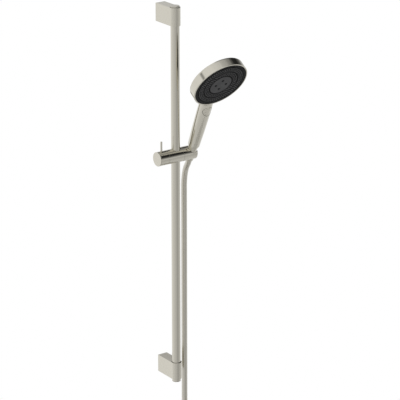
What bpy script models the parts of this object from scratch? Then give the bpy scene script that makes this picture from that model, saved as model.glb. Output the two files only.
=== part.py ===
"""A shower rail set: a wall rail, a slider with a conical holder, a handset and its hose.

Metres, +Z up. X runs along the wall, the wall is the plane Y = 0 and the room lies at -Y.
The origin is the centre of the lower bracket's wall face.
"""

import math

import bmesh
import bpy
from mathutils import Matrix, Vector

# Rail and brackets
RAIL_RADIUS = 0.011
RAIL_WALL = 0.001
RAIL_OUT = 0.0633  # from the wall to the rail's axis
BRACKET_SPACING = 0.9228  # between the brackets' centres
BRACKET_HEIGHT = 0.0452
BRACKET_WIDTH = 0.0267
BUSHING_RADIUS = 0.0119  # of the bushing between a bracket and the rail
RAIL_TOP_PROUD = 0.0037  # of the upper bracket
RAIL_LOW_PROUD = 0.0074  # of the lower bracket
PLUG_FLANGE = 0.0012
PLUG_DEPTH = 0.0180
PLATE_SIZE = Vector((0.0186, 0.011, 0.0362))
PLATE_HOLE_RADIUS = 0.0026
PLATE_HOLE_OUT = 0.0105  # of each wall screw above or below the plate's centre

# Slider, a cylinder along X
SLIDER_HEIGHT = 0.5724  # of its axis above the lower bracket's centre
SLIDER_RADIUS = 0.0178
KNOB_LEFT = -0.0550
KNOB_RIGHT = -0.0293
BODY_RIGHT = 0.0152
HOLDER_RIGHT = 0.0545
LINER_RADIUS = 0.0124
LINER_HALF = 0.0105  # half its height, inside the slider
SPINDLE_RADIUS = 0.0037
LEVER_PIN_X = -0.0420
LEVER_PIN_RADIUS = 0.0025
LEVER_PIN_RISE = 0.0250  # above the slider's surface
STUB_RADIUS = 0.0090
STUB_LENGTH = 0.0108

# Handset, on an axis that leans out from the wall
HANDSET_X = 0.0440
HANDSET_FORWARD = 0.0044  # of the slider's axis, where the two cross
LEAN = math.radians(23.7)
FACE_PITCH = math.radians(35.4)  # of the spray direction below level
FACE_ALONG = 0.2346  # of the face's centre, along the handset's axis
FACE_FORWARD = 0.0313
HEAD_RADIUS = 0.0720
HEAD_DEPTH = 0.0235
HEAD_CROWN = 0.0310  # depth of the head at the middle of its back
FACE_RADIUS = 0.0689
NUT_LOW = -0.0200  # lower end of the conical nut, along the axis
NUT_HIGH = 0.0250
HANDLE_LOW = 0.0253
HANDLE_BORE = 0.0106
BUTTON_ALONG = 0.1405
BUTTON_RADIUS = 0.0124
BUTTON_LOW = 0.0110  # underside of the button, forward of the axis
SPOUT_BACK = -0.0015  # of the water housing's spout from the handle's axis
SLOT_HALF = 0.0080  # half the width of the holder's slot

# Hose
HOSE_RADIUS = 0.0074
HOSE_OUT = 0.0360  # from the wall to the hose, where it hangs straight
HOSE_BEND_LOW = 0.4700  # the bending stretch ends here
HANK_TOP = -0.1150
HANK_FOLD = 0.0444  # radius of the hank's folds, on the hose's centreline
HANK_RUN = 0.1900  # straight stretch between the folds
HANK_LAYER = 0.0155  # from one layer of the hank to the next
HOSE_END = -0.3980
NUT_FLATS = 0.0240
NUT_HEIGHT = 0.0160

GAP = 0.0003  # between pieces that touch
STEPS = 24
HEAD_STEPS = 40

HANDSET_TURN = Matrix.Rotation(LEAN, 4, "X")
ALONG_X = (0.0, math.pi / 2, 0.0)


def clear_scene():
    for old in list(bpy.data.objects):
        bpy.data.objects.remove(old)


def finish_of(name, colour, metallic, roughness):
    made = bpy.data.materials.new(name)
    made.use_nodes = True
    shader = made.node_tree.nodes["Principled BSDF"]
    shader.inputs["Base Color"].default_value = (*colour, 1.0)
    shader.inputs["Metallic"].default_value = metallic
    shader.inputs["Roughness"].default_value = roughness
    return made


def axis(name, place, turn=(0.0, 0.0, 0.0), parent=None):
    """An empty that a moving group hangs from."""
    empty = bpy.data.objects.new(name, None)
    empty.location = place
    empty.rotation_euler = turn
    empty.parent = parent
    bpy.context.scene.collection.objects.link(empty)
    return empty


def add(name, mesh, finish=None, parent=None, place=(0.0, 0.0, 0.0), turn=(0.0, 0.0, 0.0)):
    """Link a mesh as an object. Without a finish it is a helper that never renders."""
    made = bpy.data.objects.new(name, mesh)
    made.location = place
    made.rotation_euler = turn
    made.parent = parent
    bpy.context.scene.collection.objects.link(made)
    if finish:
        mesh.materials.append(finish)
    else:
        made.hide_render = True
        made.display_type = "WIRE"
    return made


def turned(name, profile, *placing, steps=STEPS, **more):
    """A profile of (radius, height) turned round local Z, running down its outer side.

    A profile that starts and ends on the axis is solid, and any other closes on itself.
    """
    solid = profile[0][0] == 0 and profile[-1][0] == 0
    mesh = bpy.data.meshes.new(name)
    edges = [(k, k + 1) for k in range(len(profile) - 1)]
    if not solid:
        edges.append((len(profile) - 1, 0))
    mesh.from_pydata([(r, 0.0, z) for r, z in profile], edges, [])
    made = add(name, mesh, *placing, **more)
    screw = made.modifiers.new("turn", "SCREW")
    screw.steps = steps
    screw.render_steps = steps
    screw.use_merge_vertices = True
    screw.merge_threshold = 0.000001
    screw.use_normal_calculate = False
    screw.use_smooth_shade = True
    return made


def rod(name, radius, low, high, *placing, **more):
    return turned(name, [(0, high), (radius, high), (radius, low), (0, low)], *placing, **more)


def ring(name, outer, inner, low, high, *placing, **more):
    profile = [(outer, high), (outer, low), (inner, low), (inner, high)]
    return turned(name, profile, *placing, **more)


def block(name, low, high, *placing, **more):
    mesh = bpy.data.meshes.new(name)
    shape = bmesh.new()
    bmesh.ops.create_cube(shape, size=1.0)
    low, high = Vector(low), Vector(high)
    for corner in shape.verts:
        corner.co = (low + high) / 2 + Vector(c * s for c, s in zip(corner.co, high - low))
    shape.to_mesh(mesh)
    shape.free()
    return add(name, mesh, *placing, **more)


def prism(name, outline, low, high, *placing, **more):
    """A flat outline of (x, y), anticlockwise from above, extruded along local Z."""
    mesh = bpy.data.meshes.new(name)
    shape = bmesh.new()
    floor = shape.faces.new([shape.verts.new((x, y, low)) for x, y in outline])
    lifted = bmesh.ops.extrude_face_region(shape, geom=[floor])["geom"]
    rise = Vector((0.0, 0.0, high - low))
    bmesh.ops.translate(shape, vec=rise, verts=[v for v in lifted if isinstance(v, bmesh.types.BMVert)])
    bmesh.ops.recalc_face_normals(shape, faces=shape.faces)
    shape.to_mesh(mesh)
    shape.free()
    return add(name, mesh, *placing, **more)


def tube(name, points, radius, finish, parent=None, roundness=2):
    """A round bar along points that are joined by straight stretches."""
    curve = bpy.data.curves.new(name, "CURVE")
    curve.dimensions = "3D"
    curve.bevel_depth = radius
    curve.bevel_resolution = roundness
    curve.use_fill_caps = True
    spline = curve.splines.new("POLY")
    spline.points.add(len(points) - 1)
    for point, place in zip(spline.points, points):
        point.co = (*place, 1.0)
    curve.materials.append(finish)
    made = bpy.data.objects.new(name, curve)
    made.parent = parent
    bpy.context.scene.collection.objects.link(made)
    return made


def combine(target, other, operation):
    boolean = target.modifiers.new(operation.lower(), "BOOLEAN")
    boolean.operation = operation
    boolean.object = other
    boolean.solver = "EXACT"


def cut(target, *cutters):
    for cutter in cutters:
        combine(target, cutter, "DIFFERENCE")


def join(target, *others):
    for other in others:
        combine(target, other, "UNION")


def arc(middle, radius, start, end, count):
    """Points of an arc from one angle to another, in degrees."""
    found = []
    for k in range(count + 1):
        angle = math.radians(start + (end - start) * k / count)
        found.append((middle[0] + radius * math.cos(angle), middle[1] + radius * math.sin(angle)))
    return found


def bracket_outline():
    """The D shape in plan: round in front of the rail, straight back to the wall."""
    half = BRACKET_WIDTH / 2
    return [(half, -GAP), (-half, -GAP), *arc((0.0, -RAIL_OUT), half, 180, 360, 16)]


def build_bracket(where, centre):
    """One wall bracket, the bushing that the rail passes through, the wall plate and the grub screw."""
    half = BRACKET_HEIGHT / 2
    frame = axis(where + "_bracket_axis", (0.0, 0.0, centre))
    rail = (0.0, -RAIL_OUT, 0.0)
    body = prism(where + "_bracket", bracket_outline(), -half, half, nickel, frame)
    bore_radius = BUSHING_RADIUS + GAP
    bore = rod(where + "_bore", bore_radius, -1.1 * half, 1.1 * half, None, frame, rail)
    pocket_half = PLATE_SIZE / 2 + Vector((GAP, 0.0, GAP))
    pocket = block(
        where + "_pocket",
        (-pocket_half.x, -PLATE_SIZE.y - GAP, -pocket_half.z),
        (pocket_half.x, 0.001, pocket_half.z),
        None,
        frame,
    )
    screw_place = (0.0, -0.5 * PLATE_SIZE.y, 0.0)
    screw_way = rod(where + "_screw_way", 0.0026, -1.1 * half, -half + 0.0092, None, frame, screw_place)
    cut(body, bore, pocket, screw_way)
    low, high = -half - GAP, half + GAP
    inner = RAIL_RADIUS + GAP
    ring(where + "_bushing", BUSHING_RADIUS, inner, low, high, rubber, frame, rail)

    plate = block(
        where + "_wall_plate",
        (-PLATE_SIZE.x / 2, -PLATE_SIZE.y, -PLATE_SIZE.z / 2),
        (PLATE_SIZE.x / 2, 0.0, PLATE_SIZE.z / 2),
        zinc,
        frame,
    )
    for side in (-1, 1):
        hole = rod(
            f"{where}_wall_hole_{side}",
            PLATE_HOLE_RADIUS,
            -0.001,
            PLATE_SIZE.y + 0.001,
            None,
            frame,
            (0.0, 0.0, side * PLATE_HOLE_OUT),
            (math.pi / 2, 0.0, 0.0),
            steps=16,
        )
        cut(plate, hole)
    dimple = rod(where + "_dimple", 0.0027, -0.0200, -0.0155, None, frame, screw_place, steps=12)
    cut(plate, dimple)
    rod(where + "_grub_screw", 0.0023, -0.0220, -0.0158, steel, frame, screw_place, steps=12)


def build_rail():
    """The rail goes through both brackets and stands proud of them, with a plug in each end."""
    low = -BRACKET_HEIGHT / 2 - RAIL_LOW_PROUD
    high = BRACKET_SPACING + BRACKET_HEIGHT / 2 + RAIL_TOP_PROUD
    place = axis("rail_axis", (0.0, -RAIL_OUT, 0.0))
    inner = RAIL_RADIUS - RAIL_WALL
    shank = inner - GAP
    tube_low = low + PLUG_FLANGE + GAP
    tube_high = high - PLUG_FLANGE - GAP
    ring("rail_tube", RAIL_RADIUS, inner, tube_low, tube_high, nickel, place)

    profile = [
        (0, high),
        (RAIL_RADIUS - 0.0004, high),
        (RAIL_RADIUS, high - 0.0004),
        (RAIL_RADIUS, high - PLUG_FLANGE),
        (shank, high - PLUG_FLANGE),
        (shank, high - PLUG_DEPTH),
        (0, high - PLUG_DEPTH),
    ]
    turned("upper_rail_plug", profile, nickel, place)
    profile = [
        (0, low + PLUG_DEPTH),
        (shank, low + PLUG_DEPTH),
        (shank, low + PLUG_FLANGE),
        (RAIL_RADIUS, low + PLUG_FLANGE),
        (RAIL_RADIUS, low + 0.0004),
        (RAIL_RADIUS - 0.0004, low),
        (0, low),
    ]
    turned("lower_rail_plug", profile, nickel, place)


def build_slider(place):
    """The slider's pieces, in a frame on its axis. Round ones are turned and then laid along X."""
    inner = RAIL_RADIUS + GAP
    liner = ring("slider_liner", LINER_RADIUS, inner, -LINER_HALF, LINER_HALF, graphite, place)
    slit = block("liner_slit", (0.0, -0.0008, -0.016), (0.014, 0.0008, 0.016), None, place)
    cut(liner, slit)

    stub_end = BODY_RIGHT + STUB_LENGTH
    profile = [
        (0, stub_end),
        (STUB_RADIUS, stub_end),
        (STUB_RADIUS, BODY_RIGHT),
        (SLIDER_RADIUS, BODY_RIGHT),
        (SLIDER_RADIUS, KNOB_RIGHT + GAP),
        (0, KNOB_RIGHT + GAP),
    ]
    body = turned("slider_body", profile, nickel, place, turn=ALONG_X)
    rail_way = rod("rail_way", RAIL_RADIUS + 0.0005, -0.02, 0.02, None, place)
    room = LINER_HALF + GAP
    liner_way = rod("liner_way", LINER_RADIUS + GAP, -room, room, None, place)
    shoe_way = rod("shoe_way", SPINDLE_RADIUS + 0.0004, -0.030, -0.006, None, place, turn=ALONG_X)
    thread = rod("pivot_thread", 0.0024, 0.0165, 0.030, None, place, turn=ALONG_X, steps=12)
    groove = ring(
        "ring_groove", STUB_RADIUS + 0.001, STUB_RADIUS - 0.0012, 0.0195, 0.0225, None, place, turn=ALONG_X
    )
    cut(body, rail_way, liner_way, shoe_way, thread, groove)
    seat_bore = STUB_RADIUS + GAP
    groove_floor = STUB_RADIUS - 0.0009
    ring("friction_ring", seat_bore - GAP, groove_floor, 0.0198, 0.0222, rubber, place, turn=ALONG_X)
    rod("brake_shoe", SPINDLE_RADIUS, -0.0178, -LINER_RADIUS - 0.0004, plastic, place, turn=ALONG_X)

    rod("clamp_spindle", SPINDLE_RADIUS, -0.0520, -0.0181, steel, place, turn=ALONG_X)
    profile = [
        (SLIDER_RADIUS, KNOB_RIGHT),
        (SLIDER_RADIUS, -0.0524),
        (SPINDLE_RADIUS + GAP, -0.0524),
        (SPINDLE_RADIUS + GAP, KNOB_RIGHT),
    ]
    knob = turned("clamp_knob", profile, nickel, place, turn=ALONG_X)
    pin_place = (LEVER_PIN_X, 0.0, 0.0)
    pin_way = rod("pin_way", LEVER_PIN_RADIUS + GAP, 0.0048, 0.02, None, place, pin_place, steps=12)
    cut(knob, pin_way)
    profile = [
        (0, -0.0527),
        (SLIDER_RADIUS, -0.0527),
        (SLIDER_RADIUS, KNOB_LEFT + 0.0006),
        (SLIDER_RADIUS - 0.0006, KNOB_LEFT),
        (0, KNOB_LEFT),
    ]
    turned("knob_end_cap", profile, nickel, place, turn=ALONG_X)
    pin_top = SLIDER_RADIUS + LEVER_PIN_RISE
    profile = [
        (0, pin_top),
        (LEVER_PIN_RADIUS - 0.0006, pin_top),
        (LEVER_PIN_RADIUS, pin_top - 0.0006),
        (LEVER_PIN_RADIUS, 0.0051),
        (0, 0.0051),
    ]
    turned("lever_pin", profile, nickel, place, pin_place, steps=12)

    profile = [
        (0, HOLDER_RIGHT),
        (SLIDER_RADIUS - 0.001, HOLDER_RIGHT),
        (SLIDER_RADIUS, HOLDER_RIGHT - 0.001),
        (SLIDER_RADIUS, BODY_RIGHT + GAP),
        (seat_bore, BODY_RIGHT + GAP),
        (seat_bore, 0.0270),
        (0, 0.0270),
    ]
    barrel = turned("holder_barrel", profile, nickel, place, turn=ALONG_X)
    shank_way = rod("shank_way", 0.0024, 0.026, 0.034, None, place, turn=ALONG_X, steps=12)
    head_way = rod("head_way", 0.0046, 0.0290, 0.036, None, place, turn=ALONG_X, steps=16)
    socket_place = (HANDSET_X, -HANDSET_FORWARD, 0.0)
    lean = (LEAN, 0.0, 0.0)
    cone = [(0.0131, 0.032), (0.0119, 0.016), (0.0114, 0.010), (0.0099, -0.028)]
    profile = [(0, 0.032), *cone, (0, -0.028)]
    socket = turned("socket", profile, None, place, socket_place, lean)
    slot_low, slot_high = (0.003, -SLOT_HALF, -0.035), (0.02, SLOT_HALF, 0.035)
    slot = block("slot", slot_low, slot_high, None, place, place=socket_place)
    slot.rotation_euler = lean
    cut(barrel, shank_way, head_way, socket, slot)
    head, shank = [(0.0040, 0.0322), (0.0040, 0.0301)], [(0.0021, 0.0301), (0.0021, 0.0180)]
    profile = [(0, 0.0322), *head, *shank, (0, 0.0180)]
    turned("pivot_screw", profile, steel, place, turn=ALONG_X, steps=12)
    ring("pivot_washer", 0.0043, 0.0024, 0.0292, 0.0298, plastic, place, turn=ALONG_X, steps=12)


def handle_profile(shrink=0.0):
    """Radius and height of the handle's outside, from its rounded top to its lower end."""
    rounded = [(0.0, 0.2120), (0.0060, 0.2105), (0.0109, 0.2050), (0.0146, 0.1930), (0.0159, 0.1780)]
    grip = [(0.0165, 0.1600), (0.0169, 0.1405), (0.0167, 0.1050), (0.0161, 0.0700), (0.0153, 0.0450)]
    low = [(0.0148, HANDLE_LOW + 0.0010), (0.0140, HANDLE_LOW), (0.0, HANDLE_LOW)]
    return [(max(r - shrink, 0.0), z) for r, z in rounded + grip + low]


def build_handset(place):
    """The handset, in a frame whose Z runs up its axis and whose -Y faces the user."""
    face = axis(
        "face_axis",
        (0.0, -FACE_FORWARD, FACE_ALONG),
        (math.pi / 2 + FACE_PITCH - LEAN, 0.0, 0.0),
        place,
    )
    build_casing(place, face)
    build_button(place)
    build_waterway(place)
    build_spray_unit(place, face)
    build_nut(place)


def build_casing(place, face):
    dome = [(0.0, -HEAD_CROWN), (0.030, -0.0300), (0.052, -0.0276), (0.0670, -0.0252)]
    side = [(0.0707, -HEAD_DEPTH), (HEAD_RADIUS, -HEAD_DEPTH + 0.0018), (HEAD_RADIUS, -0.0008)]
    lip = [(HEAD_RADIUS - 0.0008, 0.0), (0.0, 0.0)]
    outside = list(reversed(dome + side + lip))
    shell = turned("handset_shell", outside, nickel, face, steps=HEAD_STEPS)
    handle = turned("handle_outside", handle_profile(), None, place, steps=HEAD_STEPS)
    join(shell, handle)
    room = [
        (0.0, 0.002),
        (FACE_RADIUS + GAP, 0.002),
        (FACE_RADIUS + GAP, -0.0030),
        (0.0664, -0.0030),
        (0.0664, -0.0222),
        (0.0, -0.0222),
    ]
    hollow = turned("head_room", room, None, face, steps=HEAD_STEPS)
    bore = rod("handle_bore", HANDLE_BORE, 0.020, 0.1960, None, place)
    forward = (math.pi / 2, 0.0, 0.0)
    button_way = rod(
        "button_way", BUTTON_RADIUS + 0.0004, 0.0076, 0.024, None, place, (0.0, 0.0, BUTTON_ALONG), forward
    )
    cut(shell, hollow, bore, button_way)


def build_button(place):
    """The select button follows the handle's outside. Its plunger and spring stand on the housing."""
    centre = (0.0, 0.0, BUTTON_ALONG)
    forward = (math.pi / 2, 0.0, 0.0)
    outside = turned("button_outside", handle_profile(0.0002), None, place, steps=HEAD_STEPS)
    button = rod("select_button", BUTTON_RADIUS, BUTTON_LOW, 0.022, satin, place, centre, forward)
    combine(button, outside, "INTERSECT")
    housing = rod("selector_housing", HANDLE_BORE - GAP, 0.1210, 0.1600, plastic, place)
    flat = block("housing_flat", (-0.02, -0.02, 0.1270), (0.02, -0.0010, 0.1540), None, place)
    well = rod("plunger_well", 0.0034, -0.0070, 0.0200, None, place, centre, forward, steps=12)
    passage = rod("water_passage", 0.0022, 0.1150, 0.1650, None, place, (0.0, 0.0066, 0.0), steps=12)
    cut(housing, flat, well, passage)
    rod("selector_plunger", 0.0030, -0.0038, BUTTON_LOW - GAP, plastic, place, centre, forward, steps=12)
    turns, radius, wire = 4, 0.0048, 0.00045
    low, high = 0.0010 + GAP + wire, BUTTON_LOW - GAP - wire
    count = 12 * turns
    points = []
    for k in range(count + 1):
        angle = 2 * math.pi * turns * k / count
        forward_by = low + (high - low) * k / count
        points.append((radius * math.cos(angle), -forward_by, BUTTON_ALONG + radius * math.sin(angle)))
    tube("button_spring", points, wire, steel, place, roundness=1)


def build_waterway(place):
    """From the inlet up: threaded nipple with its seal and flow limiter, then the tube."""
    profile = [
        (HANDLE_BORE - GAP, 0.0320),
        (HANDLE_BORE - GAP, 0.0298),
        (0.0092, 0.0298),
        (0.0092, 0.0280),
        (HANDLE_BORE - GAP, 0.0280),
        (HANDLE_BORE - GAP, 0.0255),
        (0.0100, 0.0250),
        (0.0100, 0.0112),
        (0.0066, 0.0112),
        (0.0066, 0.0180),
        (0.0042, 0.0180),
        (0.0042, 0.0320),
    ]
    turned("inlet_nipple", profile, brass, place)
    ring("nipple_seal", HANDLE_BORE - 0.0002, 0.0095, 0.0282, 0.0296, rubber, place)
    ring("flow_limiter", 0.0063, 0.0015, 0.0125, 0.0177, plastic, place, steps=12)
    ring("inlet_tube", 0.0062, 0.0046, 0.0323, 0.1207, plastic, place)


def build_spray_unit(place, face):
    """The dish, plates and face that fill the head, front to back, and the screw through them."""
    profile = [(0.0, -0.0098), (0.0654, -0.0098), (0.0654, -0.0212), (0.0, -0.0212)]
    dish = turned("water_housing", profile, plastic, face, steps=HEAD_STEPS)
    profile = [(0.0, -0.0090), (0.0630, -0.0090), (0.0630, -0.0192), (0.0, -0.0192)]
    hollow = turned("housing_room", profile, None, face, steps=HEAD_STEPS)
    boss = rod("screw_boss", 0.0055, -0.0205, -0.0100, None, face)
    thread = rod("boss_thread", 0.0019, -0.0185, -0.0080, None, face, steps=12)
    spout = rod("housing_spout", 0.0062, 0.1603, 0.1850, None, place, (0.0, SPOUT_BACK, 0.0))
    way = rod("spout_way", 0.0042, 0.1590, 0.1830, None, place, (0.0, SPOUT_BACK, 0.0))
    join(dish, spout)
    cut(dish, hollow)
    join(dish, boss)
    cut(dish, way, thread)
    ring("housing_seal", 0.0654, 0.0636, -0.0095, -0.0083, rubber, face, steps=HEAD_STEPS)
    ring("distribution_plate", 0.0630, 0.0019, -0.0095, -0.0062, plastic, face, steps=HEAD_STEPS)
    ring("nozzle_mat", 0.0660, 0.0019, -0.0059, -0.0029, rubber, face, steps=HEAD_STEPS)
    profile = [
        (FACE_RADIUS, -0.0003),
        (FACE_RADIUS, -0.0026),
        (0.0019, -0.0026),
        (0.0019, -0.0020),
        (0.0044, -0.0020),
        (0.0044, -0.0012),
        (0.0294, -0.0012),
        (0.0294, -0.0003),
    ]
    turned("spray_face", profile, graphite, face, steps=HEAD_STEPS)
    plate = rod("centre_plate", 0.0290, -0.0009, 0.0004, slate, face)
    for k in range(4):
        angle = math.radians(90 * k)
        spot = (0.0145 * math.cos(angle), 0.0145 * math.sin(angle), 0.0)
        jet = rod(f"jet_{k}", 0.0026, -0.002, 0.002, None, face, spot, steps=12)
        cut(plate, jet)
    head, shank = [(0.0038, -0.0014), (0.0038, -0.0017)], [(0.0016, -0.0017), (0.0016, -0.0180)]
    profile = [(0, -0.0014), *head, *shank, (0, -0.0180)]
    turned("face_screw", profile, steel, face, steps=12)


def build_nut(place):
    """The conical nut that joins hose and handset, its washer, and the stem that it turns on."""
    profile = [
        (0.0121, NUT_HIGH),
        (0.0127, NUT_HIGH - 0.0010),
        (0.0116, 0.0160),
        (0.0110, 0.0100),
        (0.0097, NUT_LOW + 0.0008),
        (0.0092, NUT_LOW),
        (0.0080, NUT_LOW),
        (0.0080, 0.0050),
        (0.0103, 0.0050),
        (0.0103, NUT_HIGH),
    ]
    turned("conical_nut", profile, nickel, place)
    ring("hose_washer", 0.0098, 0.0052, 0.0088, 0.0109, rubber, place)
    profile = [
        (0.0098, 0.0085),
        (0.0098, 0.0054),
        (0.0076, 0.0054),
        (0.0076, NUT_LOW + 0.0004),
        (0.0050, NUT_LOW + 0.0004),
        (0.0050, 0.0085),
    ]
    turned("hose_stem", profile, brass, place)


def smooth_route(knots, spacing):
    """Points about evenly spaced along a Catmull-Rom curve through the knots."""
    ends = [2 * knots[0] - knots[1], *knots, 2 * knots[-1] - knots[-2]]
    dense = []
    for a, b, c, d in zip(ends, ends[1:], ends[2:], ends[3:]):
        for k in range(24):
            t = k / 24
            bend = (2 * a - 5 * b + 4 * c - d) * t * t + (3 * b - a - 3 * c + d) * t**3
            dense.append((2 * b + (c - a) * t + bend) / 2)
    dense.append(knots[-1])
    total = sum((q - p).length for p, q in zip(dense, dense[1:]))
    step = total / max(round(total / spacing), 1)
    points, run = [dense[0]], 0.0
    for p, q in zip(dense, dense[1:]):
        run += (q - p).length
        if run >= step - 1e-9 and len(points) * step < total - step / 2:
            points.append(q)
            run -= step
    return [*points, dense[-1]]


def build_hose():
    """Out of the nut, round to the vertical and down, then a tied hank with the wall nut below it."""
    start = Vector((HANDSET_X, -RAIL_OUT - HANDSET_FORWARD, SLIDER_HEIGHT))
    start += HANDSET_TURN @ Vector((0.0, 0.0, NUT_LOW - GAP))
    bend = [
        (-0.0530, 0.5410),
        (-0.0455, 0.5280),
        (-0.0403, 0.5130),
        (-0.0373, 0.4960),
        (-HOSE_OUT, 0.4800),
        (-HOSE_OUT, HOSE_BEND_LOW),
    ]
    knots = [start, *(Vector((HANDSET_X, y, z)) for y, z in bend)]
    tube("hose_bend_tube", smooth_route(knots, 2 * HOSE_RADIUS), HOSE_RADIUS, hose_skin, roundness=4)
    hang = (HANDSET_X, -HOSE_OUT, HOSE_BEND_LOW - GAP)
    low = (HANDSET_X, -HOSE_OUT, HANK_TOP + GAP)
    straight = [Vector(hang).lerp(Vector(low), k / 14) for k in range(15)]
    tube("hose_tube", straight, HOSE_RADIUS, hose_skin, roundness=4)

    reach = HANK_FOLD + HOSE_RADIUS
    middle = -HOSE_OUT - HANK_FOLD
    top_middle = HANK_TOP - reach
    low_middle = top_middle - HANK_RUN
    near = HOSE_RADIUS - HOSE_OUT
    shoulder = [(near, top_middle), (near, HANK_TOP), (middle, HANK_TOP)]
    over = arc((middle, top_middle), reach, 90, 180, 8)[1:]
    under = arc((middle, low_middle), reach, 180, 360, 16)
    standing = (math.pi / 2, 0.0, math.pi / 2)
    left = HANDSET_X - HOSE_RADIUS
    right = HANDSET_X + HANK_LAYER + HOSE_RADIUS
    prism("hose_hank", shoulder[1:] + over + under, left, right, hose_skin, None, turn=standing)
    tie_z = (top_middle + low_middle) / 2
    tie = block(
        "hose_tie",
        (left - 0.0018, middle - reach - 0.0018, tie_z - 0.009),
        (right + 0.0018, middle + reach + 0.0018, tie_z + 0.009),
        strap,
    )
    tie_way = block(
        "tie_way",
        (left - GAP, middle - reach - GAP, tie_z - 0.02),
        (right + GAP, middle + reach + GAP, tie_z + 0.02),
    )
    cut(tie, tie_way)
    build_wall_end()


def build_wall_end():
    place = axis("wall_nut_axis", (HANDSET_X + HANK_LAYER, -HOSE_OUT, HOSE_END))
    profile = [
        (0.0082, -GAP),
        (0.0082, -0.0120),
        (0.0068, -0.0120),
        (0.0068, -0.0160),
        (0.0090, -0.0160),
        (0.0090, -0.0180),
        (0.0050, -0.0180),
        (0.0050, -GAP),
    ]
    turned("wall_end_ferrule", profile, nickel, place)
    corner = NUT_FLATS / 2 / math.cos(math.pi / 6)
    hexagon = arc((0.0, 0.0), corner, 0, 300, 5)
    top = -0.0126
    nut = prism("wall_nut", hexagon, top - NUT_HEIGHT, top, nickel, place)
    neck = rod("nut_neck", 0.0072, top - 0.004, top + 0.001, None, place)
    thread = rod("nut_thread", 0.0104, top - NUT_HEIGHT - 0.001, top - 0.0030, None, place)
    cut(nut, neck, thread)
    ring("wall_nut_washer", 0.0096, 0.0055, -0.0204, -0.0183, rubber, place)


clear_scene()
nickel = finish_of("brushed nickel", (0.55, 0.53, 0.48), 1.0, 0.22)
satin = finish_of("satin nickel", (0.60, 0.58, 0.53), 1.0, 0.28)
steel = finish_of("steel", (0.50, 0.50, 0.50), 1.0, 0.35)
brass = finish_of("brass", (0.78, 0.60, 0.30), 1.0, 0.30)
zinc = finish_of("zinc", (0.45, 0.46, 0.47), 1.0, 0.50)
plastic = finish_of("white plastic", (0.75, 0.75, 0.73), 0.0, 0.50)
rubber = finish_of("black rubber", (0.03, 0.03, 0.03), 0.0, 0.70)
graphite = finish_of("graphite plastic", (0.035, 0.035, 0.037), 0.0, 0.55)
slate = finish_of("slate plastic", (0.06, 0.06, 0.062), 0.0, 0.45)
hose_skin = finish_of("hose skin", (0.50, 0.49, 0.45), 0.8, 0.30)
strap = finish_of("strap", (0.05, 0.05, 0.05), 0.0, 0.80)

build_rail()
build_bracket("lower", 0.0)
build_bracket("upper", BRACKET_SPACING)
slider_axis = axis("slider_axis", (0.0, -RAIL_OUT, SLIDER_HEIGHT))
build_slider(slider_axis)
handset_axis = axis(
    "handset_axis", (HANDSET_X, -HANDSET_FORWARD, 0.0), (LEAN, 0.0, 0.0), slider_axis
)
build_handset(handset_axis)
build_hose()
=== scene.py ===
"""Looks of the shower rail set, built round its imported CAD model.

Metres, +Z up. X runs along the wall, the wall is the plane Y = 0 and the room lies at -Y.
"""

import math

import bmesh
import bpy
import numpy as np
from mathutils import Matrix, Vector


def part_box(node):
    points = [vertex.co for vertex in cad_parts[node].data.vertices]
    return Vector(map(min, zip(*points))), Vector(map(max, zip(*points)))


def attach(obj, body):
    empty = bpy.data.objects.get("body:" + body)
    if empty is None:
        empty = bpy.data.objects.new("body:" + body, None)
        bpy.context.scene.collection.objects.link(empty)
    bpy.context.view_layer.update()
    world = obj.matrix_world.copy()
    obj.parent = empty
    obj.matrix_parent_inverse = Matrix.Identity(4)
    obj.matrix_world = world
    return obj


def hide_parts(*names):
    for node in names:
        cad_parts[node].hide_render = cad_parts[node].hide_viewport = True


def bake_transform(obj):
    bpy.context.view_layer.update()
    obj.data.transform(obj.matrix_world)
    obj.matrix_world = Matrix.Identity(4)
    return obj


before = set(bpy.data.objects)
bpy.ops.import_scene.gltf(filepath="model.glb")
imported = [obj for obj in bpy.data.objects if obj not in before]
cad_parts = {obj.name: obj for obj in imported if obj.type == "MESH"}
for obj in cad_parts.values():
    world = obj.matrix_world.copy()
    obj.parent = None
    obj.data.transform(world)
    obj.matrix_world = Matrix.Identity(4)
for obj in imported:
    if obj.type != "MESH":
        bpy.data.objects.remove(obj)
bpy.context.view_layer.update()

# Camera
CAMERA_PLACE = (-2.7796, -4.0912, 2.1769)
CAMERA_AZIMUTH = 35.31
CAMERA_DOWN = 19.37
CAMERA_LENS = 189.2

# Rail, slider and handset, as in the CAD
RAIL_RADIUS = 0.0110
RAIL_OUT = 0.0633
BRACKET_HALF = 0.01335
BUSHING_RADIUS = 0.0119
SLIDER_HEIGHT = 0.5724
SLIDER_RADIUS = 0.0178
KNOB_LEFT = -0.0550
KNOB_RIGHT = -0.0293
BODY_RIGHT = 0.0152
HOLDER_RIGHT = 0.0545
LEVER_PIN_X = -0.0420
HANDSET_X = 0.0440
HANDSET_FORWARD = 0.0044
LEAN = math.radians(23.7)
FACE_PITCH = math.radians(35.4)
FACE_ALONG = 0.2346
FACE_FORWARD = 0.0313
HEAD_RADIUS = 0.0720
FACE_RADIUS = 0.0689
HANDLE_LOW = 0.0253
HANDLE_BORE = 0.0106
BUTTON_ALONG = 0.1405
BUTTON_RADIUS = 0.0124
BUTTON_LOW = 0.0110
SLOT_HALF = 0.0080

# Fits, and how finely pieces are meshed
GAP = 0.0003  # between neighbouring pieces
PAST = 0.001  # how far a cutter runs past the face that it opens
SEAM_EDGE = 0.00018  # rounding of the edges at the seams between turned pieces
WELD = 0.000002  # points closer than this are one point
SHARP = 32.0  # degrees: edges steeper than this stay sharp
RAIL_STEPS = 128
SLIDER_STEPS = 144
SLIDER_RINGS = 0.0016
HEAD_STEPS = 160

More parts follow.
